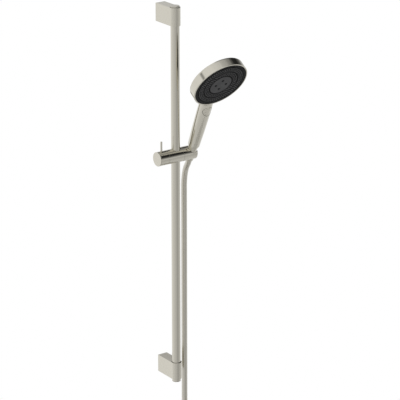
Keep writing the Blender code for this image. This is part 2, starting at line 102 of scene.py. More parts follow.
# Hose, as in the CAD
HOSE_RADIUS = 0.0074
HOSE_OUT = 0.0360
HANK_TOP = -0.1150
HANK_FOLD = 0.0444
HANK_RUN = 0.1900
HANK_LAYER = 0.0155
HOSE_END = -0.3980
RIB_PITCH = 0.0030
RIB_DEPTH = 0.00003
HOSE_STEPS = 32
STEM_END = -0.0203  # where the hose leaves the nut, in the handset's frame
FOLD_PARTS = 16
STRAP_UNDER = 0.0003  # from the hose to the strap's inside
STRAP_OVER = 0.0017
STRAP_HALF = 0.009
NUT_PITCH = 0.0018
GRUB_PITCH = 0.0007

# Blend between handle and head
BLEND_UNDER_LIP = 0.0022
BLEND_AT_SIDE = 0.0088  # added to it from the front to BLEND_TURN
BLEND_BEHIND = 0.0025  # added towards the back
BLEND_TURN = math.radians(75)
BLEND_SUNK = 0.0012  # how far the blend's last row lies inside the head

# Button and centre plate
BUTTON_SUNK = 0.0002
BUTTON_DROP = 0.0007  # added towards the button's upper edge
BUTTON_EDGE = 0.0005
PLATE_RADIUS = 0.0290
JET_RING = 0.0145
WELL_RADIUS = 0.0040
WELL_SLOPE = 0.0011
WELL_DEPTH = 0.0011

EVEN = (1.0, 1.0, 1.0)

SLIDER_AXIS = Matrix.Translation((0.0, -RAIL_OUT, SLIDER_HEIGHT))
ALONG_X = SLIDER_AXIS @ Matrix.Rotation(math.pi / 2, 4, "Y")
HANDSET = (
    SLIDER_AXIS
    @ Matrix.Translation((HANDSET_X, -HANDSET_FORWARD, 0.0))
    @ Matrix.Rotation(LEAN, 4, "X")
)
FACE = (
    HANDSET
    @ Matrix.Translation((0.0, -FACE_FORWARD, FACE_ALONG))
    @ Matrix.Rotation(math.pi / 2 + FACE_PITCH - LEAN, 4, "X")
)
FORWARD = Matrix.Rotation(math.pi / 2, 4, "X")  # turns +Z to -Y


# ---------------------------------------------------------------- camera and light


def add_camera():
    data = bpy.data.cameras.new("camera")
    data.lens = CAMERA_LENS
    data.sensor_width = 36.0
    data.clip_end = 50.0
    camera = bpy.data.objects.new("camera", data)
    camera.location = CAMERA_PLACE
    camera.rotation_euler = (math.radians(90 - CAMERA_DOWN), 0.0, math.radians(-CAMERA_AZIMUTH))
    bpy.context.scene.collection.objects.link(camera)
    bpy.context.scene.camera = camera


class Graph:
    """Short ways to add the nodes of a material or of the world."""

    def __init__(self, tree):
        self.tree = tree
        self.nodes = tree.nodes

    def plug(self, value, socket):
        if isinstance(value, bpy.types.NodeSocket):
            self.tree.links.new(value, socket)
        elif value is not None:
            socket.default_value = value

    def math(self, operation, *values):
        node = self.nodes.new("ShaderNodeMath")
        node.operation = operation
        for value, socket in zip(values, node.inputs):
            self.plug(value, socket)
        return node.outputs[0]

    def remap(self, value, low, high, to_low, to_high):
        node = self.nodes.new("ShaderNodeMapRange")
        node.interpolation_type = "SMOOTHSTEP"
        for name, given in (("Value", value), ("From Min", low), ("From Max", high)):
            self.plug(given, node.inputs[name])
        node.inputs["To Min"].default_value = to_low
        node.inputs["To Max"].default_value = to_high
        return node.outputs["Result"]

    def curve(self, value, stops):
        """A smooth curve through stops of (position from 0 to 1, level)."""
        node = self.nodes.new("ShaderNodeValToRGB")
        ramp = node.color_ramp
        ramp.interpolation = "EASE"
        ramp.elements[0].position, ramp.elements[1].position = stops[0][0], stops[-1][0]
        for position, _ in stops[1:-1]:
            ramp.elements.new(position)
        for element, (_, level) in zip(ramp.elements, stops):
            element.color = (level, level, level, 1.0)
        self.plug(value, node.inputs["Fac"])
        return node.outputs["Color"]

    def mix(self, share, first, second, kind="FLOAT"):
        node = self.nodes.new("ShaderNodeMix")
        node.data_type = kind
        slots = {"FLOAT": (2, 3, 0), "RGBA": (6, 7, 2)}[kind]
        self.plug(share, node.inputs[0])
        self.plug(first, node.inputs[slots[0]])
        self.plug(second, node.inputs[slots[1]])
        return node.outputs[slots[2]]

    def noise(self, scale, detail, stretch=EVEN):
        coords = self.nodes.new("ShaderNodeTexCoord")
        mapping = self.nodes.new("ShaderNodeMapping")
        mapping.inputs["Scale"].default_value = stretch
        self.plug(coords.outputs["Object"], mapping.inputs["Vector"])
        node = self.nodes.new("ShaderNodeTexNoise")
        self.plug(mapping.outputs["Vector"], node.inputs["Vector"])
        node.inputs["Scale"].default_value = scale
        node.inputs["Detail"].default_value = detail
        return node.outputs[0]


def add_world():
    """A soft studio: pale all round, a dark flag high on the right, and a slim one on the left."""
    world = bpy.data.worlds.new("studio")
    world.use_nodes = True
    bpy.context.scene.world = world
    graph = Graph(world.node_tree)
    coords = graph.nodes.new("ShaderNodeTexCoord")
    split = graph.nodes.new("ShaderNodeSeparateXYZ")
    graph.plug(coords.outputs["Generated"], split.inputs[0])
    x, y, z = split.outputs
    turn = graph.math("ARCTAN2", x, graph.math("MULTIPLY", y, -1.0))
    turn = graph.math("DIVIDE", turn, math.pi)  # 0 ahead of the object, 0.5 on its right
    rise = graph.math("DIVIDE", graph.math("ARCSINE", z), math.pi / 2)

    up = graph.math("MULTIPLY_ADD", rise, 0.5, 0.5)
    round_about = graph.math("MULTIPLY_ADD", turn, 0.5, 0.5)

    def at(*stops, span):
        return [((degrees + span) / (2 * span), level) for degrees, level in stops]

    low = graph.curve(
        round_about,
        at(
            (-180, 1.0), (-146, 1.0), (-86, 0.80), (-40, 0.68), (5, 0.50), (60, 0.66),
            (100, 0.9), (180, 1.0), span=180,
        ),
    )
    floor = graph.remap(rise, -60 / 90, -25 / 90, 0.0, 1.0)
    low = graph.mix(floor, 0.72, low)
    left = graph.curve(up, at((-90, 1.0), (0, 1.0), (55, 0.97), (72, 0.90), (90, 0.74), span=90))
    low_or_left = graph.mix(graph.remap(rise, -14 / 90, 4 / 90, 0.0, 1.0), low, left)
    right = graph.curve(
        up,
        at(
            (-90, 1.0), (-12, 0.95), (2, 0.50), (15, 0.12), (27, 0.02), (40, 0.03),
            (47, 0.12), (55, 0.32), (72, 0.56), (90, 0.74), span=90,
        ),
    )
    flag_on = graph.remap(turn, 8 / 180, 30 / 180, 0.0, 1.0)
    higher = graph.math("MAXIMUM", graph.math("SUBTRACT", rise, 24 / 90), 0.0)
    back = graph.math("SUBTRACT", turn, graph.math("MULTIPLY", higher, 0.55))
    flag_off = graph.remap(back, 130 / 180, 156 / 180, 1.0, 0.0)
    above = graph.remap(rise, -14 / 90, -4 / 90, 0.0, 1.0)
    flag = graph.math("MULTIPLY", graph.math("MULTIPLY", flag_on, flag_off), above)
    level = graph.mix(flag, low_or_left, right)

    slim = graph.math("ABSOLUTE", graph.math("ADD", turn, 110 / 180))
    slim = graph.remap(slim, 0.5 / 180, 4.5 / 180, 0.62, 0.0)
    slim_up = graph.math("ABSOLUTE", graph.math("SUBTRACT", rise, 25 / 90))
    slim_up = graph.remap(slim_up, 8 / 90, 26 / 90, 1.0, 0.0)
    kept = graph.math("SUBTRACT", 1.0, graph.math("MULTIPLY", slim, slim_up))
    level = graph.math("MULTIPLY", level, kept)

    path = graph.nodes.new("ShaderNodeLightPath")
    shown = graph.mix(path.outputs["Is Camera Ray"], level, 1.0)
    graph.plug(shown, graph.nodes["Background"].inputs["Strength"])
    graph.nodes["Background"].inputs["Color"].default_value = (1.0, 1.0, 1.0, 1.0)


def add_floor():
    """A round pale floor, well below the object."""
    path = rounded([(0.0, 0.0), (1.1, 0.0, 0.01), (1.1, -0.02)])
    mesh = lathe("studio_floor", path, 96, Matrix.Translation((0.02, -0.1, -1.15)))
    floor = bpy.data.objects.new("studio_floor", mesh)
    bpy.context.scene.collection.objects.link(floor)
    mesh.shade_smooth()
    mesh.materials.append(plain_finish("floor_paint", (0.80, 0.80, 0.79), 0.6))


# ---------------------------------------------------------------- materials


def finish(name, colour, second, metallic, rough, noise, bump=None, **sockets):
    """A material whose colour and roughness drift with a noise, with a fine bump if one is given.

    rough is (low, high), noise is (scale, detail) or (scale, detail, stretch), and bump is
    (scale, stretch, depth in metres).
    """
    made = bpy.data.materials.new(name)
    made.use_nodes = True
    graph = Graph(made.node_tree)
    shader = graph.nodes["Principled BSDF"]
    drift = graph.noise(*noise)
    tint = graph.mix(drift, (*colour, 1.0), (*second, 1.0), "RGBA")
    graph.plug(tint, shader.inputs["Base Color"])
    graph.plug(graph.remap(drift, 0.3, 0.7, *rough), shader.inputs["Roughness"])
    shader.inputs["Metallic"].default_value = metallic
    for socket, value in sockets.items():
        shader.inputs[socket.replace("_", " ")].default_value = value
    if bump:
        scale, stretch, depth = bump
        node = graph.nodes.new("ShaderNodeBump")
        node.inputs["Distance"].default_value = depth
        graph.plug(graph.noise(scale, 4.0, stretch), node.inputs["Height"])
        graph.plug(node.outputs["Normal"], shader.inputs["Normal"])
    return made


def plain_finish(name, colour, rough):
    lighter = tuple(min(1.0, 1.03 * part) for part in colour)
    return finish(name, colour, lighter, 0.0, (rough - 0.04, rough + 0.04), (3.0, 2.0))


NICKEL = (0.615, 0.592, 0.520)
NICKEL_DEEP = (0.590, 0.565, 0.492)


def nickel_finish(name, stretch, rough=(0.07, 0.11), depth=0.000002):
    """Nickel with the very fine lines that polishing left, drawn out where stretch is small."""
    noise, bump = (18.0, 3.0, stretch), (1500.0, stretch, depth)
    return finish(name, NICKEL, NICKEL_DEEP, 1.0, rough, noise, bump)


def make_finishes():
    graphite, graphite_pale = (0.0045, 0.0046, 0.0050), (0.0066, 0.0068, 0.0072)
    return {
        "rail": nickel_finish("nickel_drawn", (1.0, 1.0, 0.02)),
        "bracket": nickel_finish("nickel_bracket", (1.0, 1.0, 0.05), (0.14, 0.19)),
        "turned": nickel_finish("nickel_turned", (1.0, 0.08, 0.08)),
        "handset": nickel_finish("nickel_on_plastic", (0.6, 0.6, 0.15), (0.06, 0.10), 0.0000015),
        "button": nickel_finish("nickel_satin", (1.0, 1.0, 0.05), (0.20, 0.27), 0.000003),
        "hose": finish(
            "hose_skin_silver", (0.575, 0.553, 0.490), (0.535, 0.513, 0.452),
            1.0, (0.20, 0.27), (60.0, 3.0),
            (900.0, (1.0, 1.0, 0.2), 0.000006), Coat_Weight=0.35, Coat_Roughness=0.12,
        ),
        "steel": finish(
            "plain_steel", (0.50, 0.50, 0.50), (0.43, 0.43, 0.42),
            1.0, (0.28, 0.40), (90.0, 3.0),
            (1400.0, (1.0, 1.0, 0.1), 0.000006),
        ),
        "brass": finish(
            "turned_brass", (0.78, 0.60, 0.30), (0.68, 0.50, 0.24),
            1.0, (0.24, 0.36), (70.0, 3.0),
            (1200.0, (0.1, 0.1, 1.0), 0.000008),
        ),
        "zinc": finish(
            "cast_zinc", (0.45, 0.46, 0.47), (0.36, 0.37, 0.38),
            1.0, (0.42, 0.58), (120.0, 4.0),
            (700.0, EVEN, 0.00003),
        ),
        "white": finish(
            "white_plastic_moulded", (0.74, 0.74, 0.72), (0.68, 0.68, 0.66),
            0.0, (0.42, 0.54), (40.0, 3.0),
            (1500.0, EVEN, 0.00001),
        ),
        "rubber": finish(
            "black_rubber_moulded", (0.020, 0.020, 0.021), (0.030, 0.030, 0.031),
            0.0, (0.55, 0.70), (150.0, 3.0),
            (1800.0, EVEN, 0.00001),
        ),
        "graphite": finish(
            "graphite_plastic_moulded", graphite, graphite_pale, 0.0, (0.50, 0.62), (60.0, 3.0),
            (2200.0, EVEN, 0.000008), Specular_IOR_Level=0.13,
        ),
        "slate": finish(
            "slate_plastic_moulded", (0.034, 0.034, 0.036), (0.041, 0.041, 0.043),
            0.0, (0.42, 0.52), (60.0, 3.0),
            (2200.0, EVEN, 0.000006), Specular_IOR_Level=0.3,
        ),
        "well": finish(
            "jet_rubber_moulded", (0.0030, 0.0030, 0.0032), (0.0045, 0.0045, 0.0048),
            0.0, (0.55, 0.68), (150.0, 3.0),
            (1800.0, EVEN, 0.00001), Specular_IOR_Level=0.08,
        ),
        "nozzle": finish(
            "nozzle_silicone", (0.090, 0.090, 0.092), (0.110, 0.110, 0.112),
            0.0, (0.50, 0.62), (200.0, 2.0),
            (2500.0, EVEN, 0.000005), Specular_IOR_Level=0.3,
        ),
        "strap": finish(
            "woven_strap", (0.030, 0.030, 0.032), (0.055, 0.055, 0.057),
            0.0, (0.80, 0.92), (1400.0, 2.0),
            (2600.0, (1.0, 1.0, 1.6), 0.00012), Sheen_Weight=0.25,
        ),
    }


# ---------------------------------------------------------------- mesh tools


def rounded(corners, closed=False, count=5):
    """A path through corners of (x, y) or (x, y, radius), with an arc at each one with a radius."""
    path = []
    for k, corner in enumerate(corners):
        here = Vector(corner[:2])
        radius = corner[2] if len(corner) > 2 else 0.0
        if not radius or (not closed and k in (0, len(corners) - 1)):
            path.append(here)
            continue
        back = Vector(corners[k - 1][:2]) - here
        on = Vector(corners[(k + 1) % len(corners)][:2]) - here
        half = back.angle(on) / 2
        reach = min(radius / math.tan(half), 0.49 * back.length, 0.49 * on.length)
        bulge = back.normalized() + on.normalized()
        middle = here + bulge.normalized() * reach / math.cos(half)
        start = here + back.normalized() * reach - middle
        sweep = -start.angle_signed(here + on.normalized() * reach - middle)
        for j in range(count + 1):
            path.append(middle + Matrix.Rotation(sweep * j / count, 2) @ start)
    return path


def refined(path, step):
    """The path with points added, so that no stretch is longer than step."""
    found = [path[0]]
    for a, b in zip(path, path[1:]):
        parts = max(1, math.ceil((b - a).length / step))
        found += [a.lerp(b, k / parts) for k in range(1, parts + 1)]
    return found


def smooth_path(knots, per_span):
    """A Catmull-Rom curve through the knots."""
    knots = [Vector(k) for k in knots]
    ends = [2 * knots[0] - knots[1], *knots, 2 * knots[-1] - knots[-2]]
    found = []
    for a, b, c, d in zip(ends, ends[1:], ends[2:], ends[3:]):
        for k in range(per_span):
            t = k / per_span
            bend = (2 * a - 5 * b + 4 * c - d) * t * t + (3 * b - a - 3 * c + d) * t**3
            found.append((2 * b + (c - a) * t + bend) / 2)
    return [*found, knots[-1]]


def grid_faces(rows):
    """Quads between neighbouring closed rows of vertex numbers. A row of one number is a pole."""
    faces = []
    for low, high in zip(rows, rows[1:]):
        count = max(len(low), len(high))
        for k in range(count):
            below = (low[k % len(low)], low[(k + 1) % len(low)])
            above = (high[(k + 1) % len(high)], high[k % len(high)])
            corners = list(dict.fromkeys(below + above))
            if len(corners) > 2:
                faces.append(corners)
    return faces


def mesh_of(name, points, faces):
    mesh = bpy.data.meshes.new(name)
    mesh.from_pydata([tuple(p) for p in points], [], faces)
    shape = bmesh.new()
    shape.from_mesh(mesh)
    bmesh.ops.recalc_face_normals(shape, faces=shape.faces)
    shape.to_mesh(mesh)
    shape.free()
    return mesh


def rows_mesh(name, rows, closed=False):
    """A mesh from rows of points. closed joins the last row to the first."""
    points, numbers = [], []
    for row in rows:
        numbers.append(range(len(points), len(points) + len(row)))
        points += row
    if closed:
        numbers.append(numbers[0])
    return mesh_of(name, points, grid_faces(numbers))


def circle(place, radius, height, angles):
    return [place @ Vector((radius * math.cos(a), radius * math.sin(a), height)) for a in angles]


def lathe(name, path, steps, place, closed=False):
    """A path of (radius, height) turned round Z."""
    rows = []
    for radius, height in path:
        if radius < 1e-7:
            rows.append([place @ Vector((0.0, 0.0, height))])
            continue
        angles = (2 * math.pi * k / steps for k in range(steps))
        rows.append(circle(place, radius, height, angles))
    return rows_mesh(name, rows, closed)


def joined(name, tips):
    """One mesh from several, which are removed."""
    points, faces = [], []
    for tip in tips:
        start = len(points)
        points += [v.co.copy() for v in tip.vertices]
        faces += [[start + v for v in face.vertices] for face in tip.polygons]
        bpy.data.meshes.remove(tip)
    mesh = bpy.data.meshes.new(name)
    mesh.from_pydata(points, [], faces)
    return mesh


def temporary(mesh):
    made = bpy.data.objects.new(mesh.name, mesh)
    bpy.context.scene.collection.objects.link(made)
    return made


def settle(piece):
    """Apply the piece's modifiers."""
    graph = bpy.context.evaluated_depsgraph_get()
    made = bpy.data.meshes.new_from_object(piece.evaluated_get(graph), depsgraph=graph)
    made.name = piece.name
    piece.modifiers.clear()
    piece.data = made


def weld(mesh):
    """Close the hairline cracks that Booleans leave, by merging points closer than WELD."""
    shape = bmesh.new()
    shape.from_mesh(mesh)
    bmesh.ops.remove_doubles(shape, verts=shape.verts, dist=WELD)
    bmesh.ops.dissolve_degenerate(shape, edges=shape.edges, dist=WELD)
    cracks = [edge for edge in shape.edges if len(edge.link_faces) < 2]
    if cracks:
        bmesh.ops.holes_fill(shape, edges=cracks, sides=6)
    bmesh.ops.recalc_face_normals(shape, faces=shape.faces)
    shape.to_mesh(mesh)
    shape.free()


def shaped(mesh, *steps):
    """The mesh after Boolean steps of (operation, other mesh)."""
    piece = temporary(mesh)
    others = []
    for operation, other in steps:
        others.append(temporary(other))
        boolean = piece.modifiers.new(operation, "BOOLEAN")
        boolean.operation = operation
        boolean.object = others[-1]
        boolean.solver = "EXACT"
    settle(piece)
    made = piece.data
    assert len(made.vertices) > 8, f"the Booleans left nothing of {made.name}"
    weld(made)
    for helper in [piece, *others]:
        bpy.data.objects.remove(helper)
    return made


def add(name, mesh, look, body, replaced=(), sharp=SHARP):
    """Link a finished piece, with its shading, material, body and replaced nodes."""
    piece = bpy.data.objects.new(name, mesh)
    bpy.context.scene.collection.objects.link(piece)
    mesh.materials.clear()
    mesh.shade_smooth()
    mesh.set_sharp_from_angle(angle=math.radians(sharp))
    weighted = piece.modifiers.new("flat faces stay flat", "WEIGHTED_NORMAL")
    weighted.keep_sharp = True
    weighted.weight = 80
    settle(piece)
    piece.data.materials.append(LOOKS[look])
    if body:
        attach(piece, body)
    if replaced:
        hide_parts(*replaced)
    return piece


def vectors(points):
    return [Vector(p) for p in points]


def rod_mesh(radius, low, high, place, steps=64):
    corners = ((0, low), (radius, low), (radius, high), (0, high))
    return lathe("rod", vectors(corners), steps, place)


# ---------------------------------------------------------------- hose


def hose_route():
    """The hose's centreline: out of the nut, beside the rail, and round the hank to its end."""
    start = HANDSET @ Vector((0.0, 0.0, STEM_END))
    bend = [
        (-0.0530, 0.5410),
        (-0.0455, 0.5280),
        (-0.0403, 0.5130),
        (-0.0373, 0.4960),
        (-HOSE_OUT, 0.4800),
        (-HOSE_OUT, 0.4700),
    ]
    knots = [start, *(Vector((HANDSET_X, y, z)) for y, z in bend)]
    upper = smooth_path(knots, 8)
    reach = HANK_FOLD + HOSE_RADIUS
    middle = -HOSE_OUT - HANK_FOLD
    high, low = HANK_TOP - reach, HANK_TOP - reach - HANK_RUN
    route = upper + [Vector((HANDSET_X, -HOSE_OUT, z)) for z in np.linspace(0.45, low, 12)]
    for k in range(1, FOLD_PARTS + 1):
        a = math.pi * k / FOLD_PARTS
        y, z = middle + HANK_FOLD * math.cos(a), low - HANK_FOLD * math.sin(a)
        route.append(Vector((HANDSET_X, y, z)))
    route += [Vector((HANDSET_X, middle - HANK_FOLD, z)) for z in np.linspace(low, high, 6)[1:]]
    for k in range(1, FOLD_PARTS + 1):
        a = math.pi * k / FOLD_PARTS
        across = HANK_LAYER * (1 - math.cos(a)) / 2
        y, z = middle - HANK_FOLD * math.cos(a), high + HANK_FOLD * math.sin(a)
        route.append(Vector((HANDSET_X + across, y, z)))
    end = HOSE_END + 0.0002
    route += [Vector((HANDSET_X + HANK_LAYER, -HOSE_OUT, z)) for z in np.linspace(high, end, 8)[1:]]
    return route


def evenly(path, step):
    """The path again, in equal steps near the given one."""
    points = np.array([tuple(p) for p in path])
    run = np.concatenate([[0.0], np.cumsum(np.linalg.norm(np.diff(points, axis=0), axis=1))])
    at = np.linspace(0.0, run[-1], max(2, round(run[-1] / step)) + 1)
    return np.stack([np.interp(at, run, points[:, k]) for k in range(3)], axis=1), at


def sweep(name, centres, radii, steps):
    """A closed tube round the centres. radii holds one row of radii for each centre."""
    along = np.gradient(centres, axis=0)
    along /= np.linalg.norm(along, axis=1)[:, None]
    side = np.cross(along[0], (1.0, 0.0, 0.0))
    rows = []
    angles = np.arange(steps) * 2 * math.pi / steps
    for centre, forward, radius in zip(centres, along, radii):
        side = side - forward * side.dot(forward)
        side /= np.linalg.norm(side)
        other = np.cross(forward, side)
        outward = np.cos(angles)[:, None] * side + np.sin(angles)[:, None] * other
        rows.append(vectors(centre + radius[:, None] * outward))
    rows = [[Vector(centres[0])], *rows, [Vector(centres[-1])]]
    return rows_mesh(name, rows)


def build_hose():
    route = smooth_path(hose_route(), 6)
    centres, run = evenly(route, RIB_PITCH / 4)
    angles = np.arange(HOSE_STEPS) * 2 * math.pi / HOSE_STEPS
    ribs = np.cos(2 * math.pi * run[:, None] / RIB_PITCH + angles[None, :])
    radii = HOSE_RADIUS - RIB_DEPTH * (0.5 - 0.5 * ribs)
    mesh = sweep("shower_hose", centres, radii, HOSE_STEPS)
    hose = add("shower_hose", mesh, "hose", None, sharp=60)
    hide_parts("hose_bend_tube", "hose_tube", "hose_hank")
    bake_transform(hose)
    on_hose = [build_tie(), build_ferrule(), build_wall_nut(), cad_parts["wall_nut_washer"]]


def strap_outline(reach):
    """A taut loop round the hank's three runs, at that reach from their centres."""
    deep = -HOSE_OUT - 2 * HANK_FOLD
    corners = [(HANDSET_X, -HOSE_OUT), (HANDSET_X, deep), (HANDSET_X + HANK_LAYER, -HOSE_OUT)]
    corners = vectors(corners)
    outline = []
    for k, here in enumerate(corners):
        before = (here - corners[k - 1]).normalized()
        after = (corners[(k + 1) % 3] - here).normalized()
        start = math.atan2(-before.x, before.y)
        sweep_by = (math.atan2(-after.x, after.y) - start) % (2 * math.pi)
        for j in range(13):
            a = start + sweep_by * j / 12
            outline.append(here + reach * Vector((math.cos(a), math.sin(a))))
    return refined([*outline, outline[0]], 0.004)[:-1]


def build_tie():
    top = HANK_TOP - HANK_FOLD - HOSE_RADIUS
    middle = top - HANK_RUN / 2
    corners = [(STRAP_UNDER, -STRAP_HALF, 0.0005), (STRAP_OVER, -STRAP_HALF, 0.0005)]
    corners += [(STRAP_OVER, STRAP_HALF, 0.0005), (STRAP_UNDER, STRAP_HALF, 0.0005)]
    section = rounded(corners, closed=True, count=3)
    rows = []
    for out, rise in section:
        loop = strap_outline(HOSE_RADIUS + out)
        rows.append([Vector((p.x, p.y, middle + rise)) for p in loop])
    mesh = rows_mesh("hose_strap", rows, closed=True)
    return add("hose_strap", mesh, "strap", "hose", ["hose_tie"], 50)


def build_ferrule():
    place = Matrix.Translation((HANDSET_X + HANK_LAYER, -HOSE_OUT, HOSE_END))
    corners = [(0.0050, -0.0003), (0.0082, -0.0003, 0.0006)]
    for k in range(4):
        z = -0.0030 - 0.0022 * k
        corners += [(0.0082, z + 0.0005, 0.0002), (0.0078, z, 0.0002), (0.0082, z - 0.0005, 0.0002)]
    corners += [(0.0082, -0.0120, 0.0003), (0.0068, -0.0120), (0.0068, -0.0160)]
    corners += [(0.0090, -0.0160, 0.0002), (0.0090, -0.0180, 0.0002), (0.0050, -0.0180)]
    mesh = lathe("hose_ferrule", rounded(corners, count=3), 72, place, closed=True)
    return add("hose_ferrule", mesh, "turned", "hose", ["wall_end_ferrule"])


def build_wall_nut():
    low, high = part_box("wall_nut")
    flats = min(high.x - low.x, high.y - low.y)
    place = Matrix.Translation(((low.x + high.x) / 2, (low.y + high.y) / 2, low.z))
    tall = high.z - low.z
    corner = flats / 2 / math.cos(math.pi / 6)
    turns = [k * math.pi / 3 for k in range(6)]
    rows = [[place @ Vector((0, 0, 0))]]
    rows += [circle(place, corner, z, turns) for z in (0, tall)]
    nut = rows_mesh("wall_nut_fine", [*rows, [place @ Vector((0, 0, tall))]])
    chamfer = [(0, 0), (0.0118, 0, 0.0004), (0.0150, 0.0019)]
    chamfer += [(0.0150, tall - 0.0019), (0.0118, tall, 0.0004), (0, tall)]
    chamfer = lathe("chamfer", rounded(chamfer, count=3), 96, place)
    neck = rod_mesh(0.0072, tall - 0.0040, tall + PAST, place)
    thread = [(0, -PAST), (0.0108, -PAST), (0.0108, 0.0003), (0.0104, 0.0009)]
    for k in range(6):
        turn = NUT_PITCH * k
        thread += [(0.0104, 0.0012 + turn), (0.0098, 0.0021 + turn), (0.0104, 0.0029 + turn)]
    thread += [(0.0104, tall - 0.0030), (0, tall - 0.0030)]
    thread = lathe("thread", vectors(thread), 72, place)
    mesh = shaped(nut, ("INTERSECT", chamfer), ("DIFFERENCE", neck), ("DIFFERENCE", thread))
    return add("wall_nut_fine", mesh, "turned", "wall_nut", ["wall_nut"], 25)


# ---------------------------------------------------------------- rail and brackets


def build_rail():
    low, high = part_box("rail_tube")
    inner = RAIL_RADIUS - 0.0010
    place = Matrix.Translation((0.0, -RAIL_OUT, 0.0))
    corners = [(inner, low.z, 0.0002), (RAIL_RADIUS, low.z, 0.0002)]
    corners += [(RAIL_RADIUS, high.z, 0.0002), (inner, high.z, 0.0002)]
    path = refined(rounded(corners, closed=True, count=3), 0.02)
    mesh = lathe("rail_fine", path, RAIL_STEPS, place, closed=True)
    add("rail_fine", mesh, "rail", "rail", ["rail_tube"])

    for end, out in (("lower", -1), ("upper", 1)):
        low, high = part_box(end + "_rail_plug")
        face, deep = (high.z, low.z) if out > 0 else (low.z, high.z)
        shank = inner - GAP
        shoulder = face - out * 0.0012
        corners = [(0.0, face - out * 0.0001), (RAIL_RADIUS, face, 0.0005)]
        corners += [(RAIL_RADIUS, shoulder, 0.0002), (shank, shoulder)]
        corners += [(shank, deep + out * 0.0003), (shank - 0.0004, deep), (0.0, deep)]
        name = end + "_rail_plug"
        mesh = lathe(name + "_fine", refined(rounded(corners), 0.002), RAIL_STEPS, place)
        add(name + "_fine", mesh, "bracket", "rail", [name])


def bracket_outline(inset):
    """The D in plan: round in front of the rail, straight to the wall, smaller by the inset."""
    side, back = BRACKET_HALF - inset, -GAP - inset
    left = [Vector((-side, back)), Vector((-side, -RAIL_OUT))]
    path = [Vector((side, back)), *refined(left, 0.006)]
    for k in range(1, 48):
        a = math.pi + math.pi * k / 48
        path.append(Vector((side * math.cos(a), -RAIL_OUT + side * math.sin(a))))
    return path + refined([Vector((side, -RAIL_OUT)), path[0]], 0.006)[:-1]


def d_block(name, low, high, edge):
    """The D extruded from low to high, with rounded edges top and bottom."""
    centre = Vector((0.0, -0.5 * RAIL_OUT))
    turns = [math.pi / 2 * k / 4 for k in range(5)]
    face = bracket_outline(edge)

    def flat(height):
        return [[Vector((*centre.lerp(p, share), height)) for p in face] for share in (0.35, 0.8)]

    def rim(height, inward, angles):
        for a in angles:
            outline = bracket_outline(edge * (1 - math.sin(a)))
            yield [Vector((*p, height + inward * edge * (1 - math.cos(a)))) for p in outline]

    rows = [[Vector((*centre, low))], *flat(low), *rim(low, 1, turns)]
    rows += [*rim(high, -1, reversed(turns)), *reversed(flat(high)), [Vector((*centre, high))]]
    return rows_mesh(name, rows)


def box_mesh(low, high):
    mesh = bpy.data.meshes.new("box")
    shape = bmesh.new()
    bmesh.ops.create_cube(shape, size=1.0)
    low, high = Vector(low), Vector(high)
    for corner in shape.verts:
        corner.co = (low + high) / 2 + Vector(c * s for c, s in zip(corner.co, high - low))
    shape.to_mesh(mesh)
    shape.free()
    return mesh


def build_bracket(where):
    node = where + "_bracket"
    low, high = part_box(node)
    axis = Matrix.Translation((0.0, -RAIL_OUT, 0.0))
    body = d_block(node + "_fine", low.z, high.z, 0.0005)
    bore = rod_mesh(BUSHING_RADIUS + GAP, low.z - PAST, high.z + PAST, axis, RAIL_STEPS)
    plate_low, plate_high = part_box(where + "_wall_plate")
    room = Vector((GAP, GAP, GAP))
    pocket = box_mesh(plate_low - room, plate_high + room + Vector((0.0, 0.002, 0.0)))
    screw_low, screw_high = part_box(where + "_grub_screw")
    screw_x, screw_y = (screw_low.x + screw_high.x) / 2, (screw_low.y + screw_high.y) / 2
    screw_axis = Matrix.Translation((screw_x, screw_y, 0.0))
    way = rod_mesh(0.0026, low.z - PAST, screw_high.z + GAP, screw_axis, 48)
    mesh = shaped(body, *(("DIFFERENCE", cutter) for cutter in (bore, pocket, way)))
    add(node + "_fine", mesh, "bracket", "rail", [node])

    low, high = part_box(where + "_bushing")
    inner = RAIL_RADIUS + GAP
    corners = [(inner, low.z, 0.0001), (BUSHING_RADIUS, low.z, 0.0002)]
    corners += [(BUSHING_RADIUS, high.z, 0.0002), (inner, high.z, 0.0001)]
    path = refined(rounded(corners, closed=True, count=3), 0.01)
    mesh = lathe(where + "_bushing_fine", path, RAIL_STEPS, axis, closed=True)
    add(where + "_bushing_fine", mesh, "rubber", "rail", [where + "_bushing"])
    build_grub_screw(where, screw_low, screw_high, screw_axis)


def build_grub_screw(where, low, high, place):
    corners = [(0, high.z), (0.0011, high.z), (0.0023, high.z - 0.0012)]
    turns = int((high.z - low.z - 0.0016) / GRUB_PITCH)
    for k in range(turns):
        z = high.z - 0.0012 - GRUB_PITCH * k
        corners += [(0.0023, z), (0.0020, z - GRUB_PITCH / 2)]
    corners += [(0.0023, low.z + 0.0003), (0.0020, low.z), (0, low.z)]
    body = lathe("screw", vectors(corners), 40, place)
    socket = rod_mesh(0.00125, low.z - PAST, low.z + 0.0016, place, 6)
    name = where + "_grub_screw"
    mesh = shaped(body, ("DIFFERENCE", socket))
    add(name + "_fine", mesh, "steel", "rail", [name], 25)


# ---------------------------------------------------------------- slider


